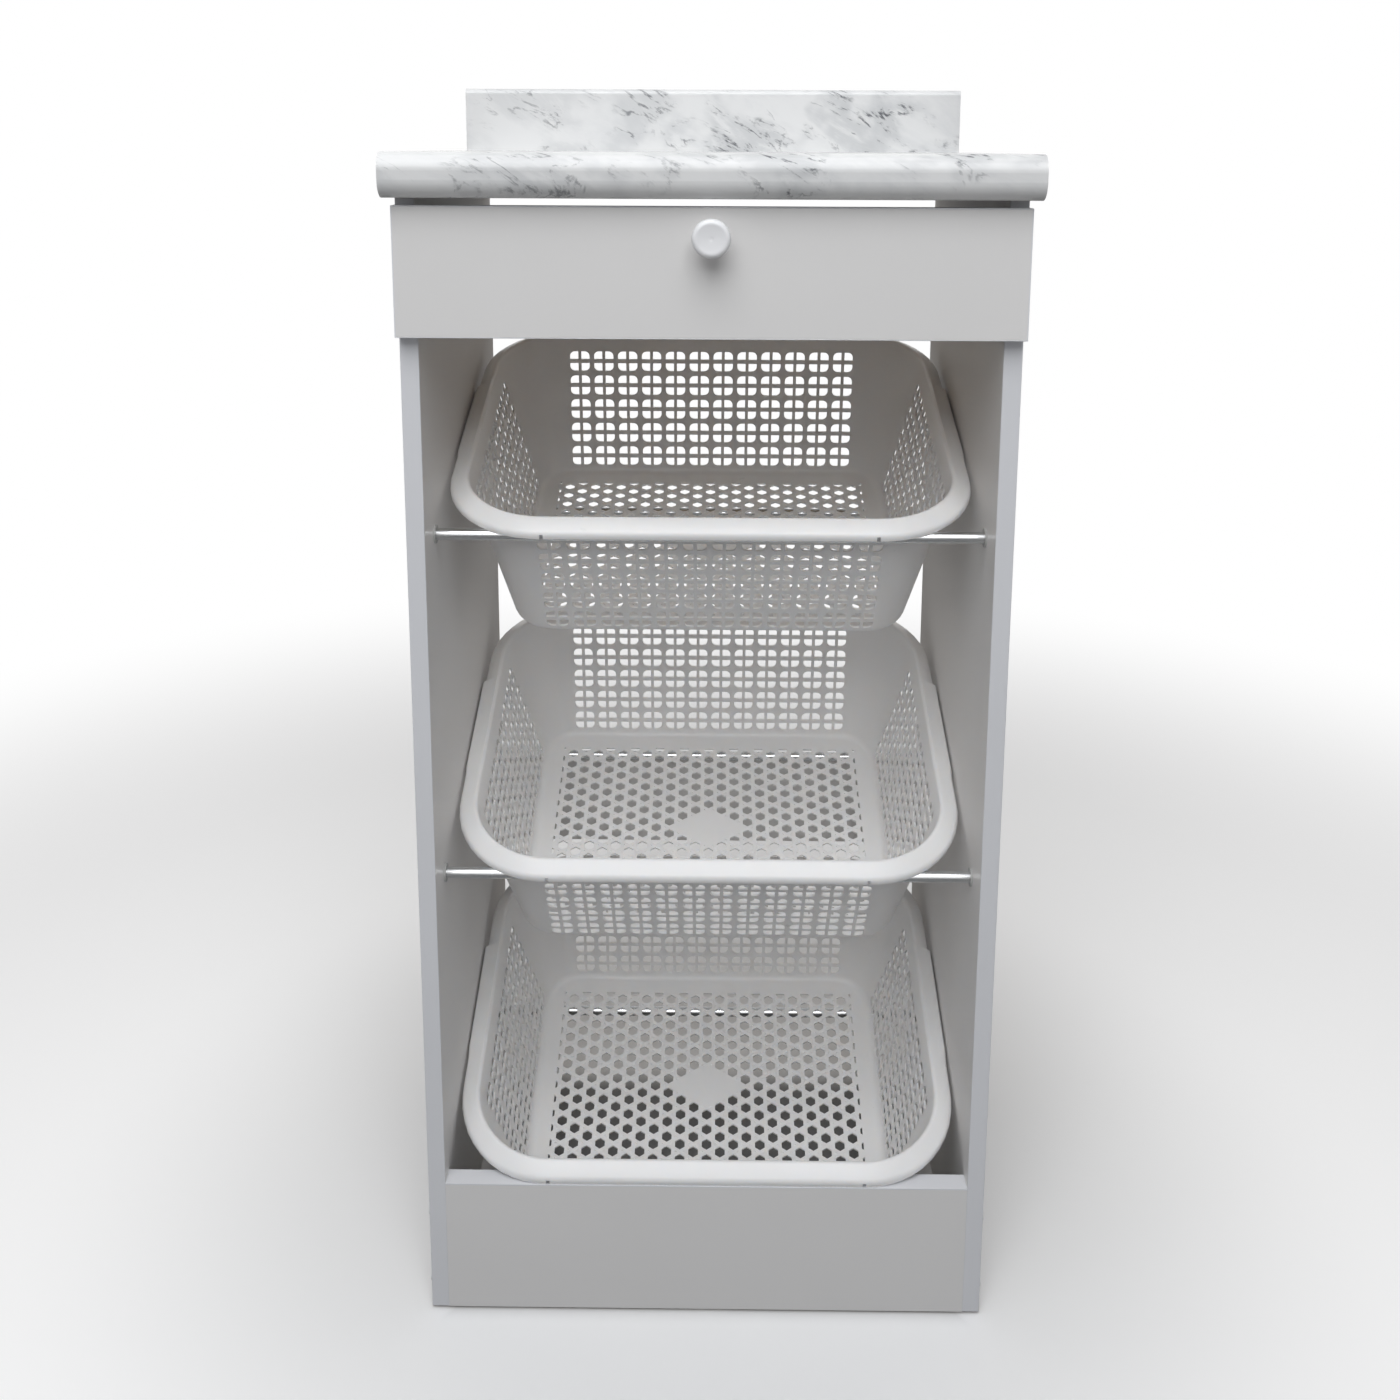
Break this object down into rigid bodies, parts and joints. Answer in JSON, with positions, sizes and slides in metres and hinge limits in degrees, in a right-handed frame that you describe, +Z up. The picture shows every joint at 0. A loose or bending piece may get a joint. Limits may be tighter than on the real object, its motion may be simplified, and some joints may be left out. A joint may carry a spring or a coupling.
{
  "type": "kitchen cabinet",
  "caption": "Narrow open-front kitchen cabinet with a marble-look worktop and backsplash, a shallow drawer, and tilted perforated vegetable baskets hung on rods.",
  "frame": {"origin": "middle of the footprint of the whole outline, on the floor", "axes": "+X to the right seen from the front, +Y to the back, +Z up"},
  "size_m": [0.505, 0.415, 1.097],
  "materials": {
    "melamine_board": "chipboard faced with smooth white melamine",
    "edge_band": "satin white edge band",
    "chipboard": "raw chipboard",
    "marble_laminate": "glossy laminate with soft grey marble veins",
    "basket_plastic": "glossy white moulded plastic",
    "white_plastic": "smooth white plastic",
    "roller_plastic": "smooth off-white plastic",
    "runner_enamel": "white enamelled steel sheet",
    "aluminium": "drawn natural aluminium tube",
    "steel": "zinc plated steel",
    "zinc": "cast zinc",
    "beech": "fluted beech dowel"
  },
  "bodies": {
    "cabinet": {"side_panel_left": "melamine_board", "side_panel_right": "melamine_board", "plinth_board": "melamine_board", "rear_rail": "melamine_board", "edge_band_left": "edge_band", "edge_band_right": "edge_band", "plinth_edging": "edge_band", "worktop_core": "chipboard", "backsplash_core": "chipboard", "worktop_laminate": "marble_laminate", "worktop_end_strips": "marble_laminate", "backsplash_laminate": "marble_laminate", "backsplash_end_strips": "marble_laminate", "backsplash_screws": "steel", "cabinet_roller_pins": "steel", "cabinet_runner_screws": "steel", "panel_screws": "steel", "cam_bolts": "steel", "cam_locks": "zinc", "rod_sockets": "white_plastic", "panel_screw_caps": "white_plastic", "floor_glides": "white_plastic", "bumper_pads": "white_plastic", "cabinet_runner_left": "runner_enamel", "cabinet_runner_right": "runner_enamel", "front_rod_upper": "aluminium", "front_rod_middle": "aluminium", "rear_rod_upper": "aluminium", "rear_rod_middle": "aluminium", "rear_rod_lower": "aluminium", "worktop_dowels": "beech"},
    "drawer": {"drawer_front": "melamine_board", "drawer_front_edging": "edge_band", "drawer_inner_front": "melamine_board", "drawer_side_left": "melamine_board", "drawer_side_right": "melamine_board", "drawer_back": "melamine_board", "drawer_bottom": "melamine_board", "drawer_box_screws": "steel", "drawer_front_screws": "steel", "knob": "white_plastic", "knob_screw": "steel", "drawer_runner_left": "runner_enamel", "drawer_runner_right": "runner_enamel", "drawer_roller_pins": "steel", "drawer_runner_screws": "steel"},
    "cabinet_rollers": {"cabinet_rollers": "roller_plastic"},
    "drawer_rollers": {"drawer_rollers": "roller_plastic"},
    "basket_upper": {"basket_upper": "basket_plastic"},
    "basket_middle": {"basket_middle": "basket_plastic"},
    "basket_lower": {"basket_lower": "basket_plastic"}
  },
  "joints": [
    {"name": "drawer_slide", "type": "slide", "parent": "cabinet", "child": "drawer", "axis": [0, -1, 0], "range_m": [0, 0.25]},
    {"name": "cabinet_roller_turn", "type": "hinge", "parent": "cabinet", "child": "cabinet_rollers", "pos_m": [0, -0.1455, 0.91375], "axis": [1, 0, 0], "range_deg": [0, 1610]},
    {"name": "drawer_roller_turn", "type": "hinge", "parent": "drawer", "child": "drawer_rollers", "pos_m": [0, 0.1635, 0.91045], "axis": [1, 0, 0], "range_deg": [0, 1610]},
    {"name": "basket_upper_lift", "type": "slide", "parent": "cabinet", "child": "basket_upper", "axis": [0, -0.3502, 0.9367], "range_m": [0, 0.03]},
    {"name": "basket_middle_lift", "type": "slide", "parent": "cabinet", "child": "basket_middle", "axis": [0, -0.3746, 0.9272], "range_m": [0, 0.03]},
    {"name": "basket_lower_lift", "type": "slide", "parent": "cabinet", "child": "basket_lower", "axis": [0, -0.3665, 0.9304], "range_m": [0, 0.03]}
  ],
  "couplings": [
    {"joint": "cabinet_roller_turn", "follows": "drawer_slide", "rad_per_m": 111.11},
    {"joint": "drawer_roller_turn", "follows": "drawer_slide", "rad_per_m": 111.11}
  ]
}
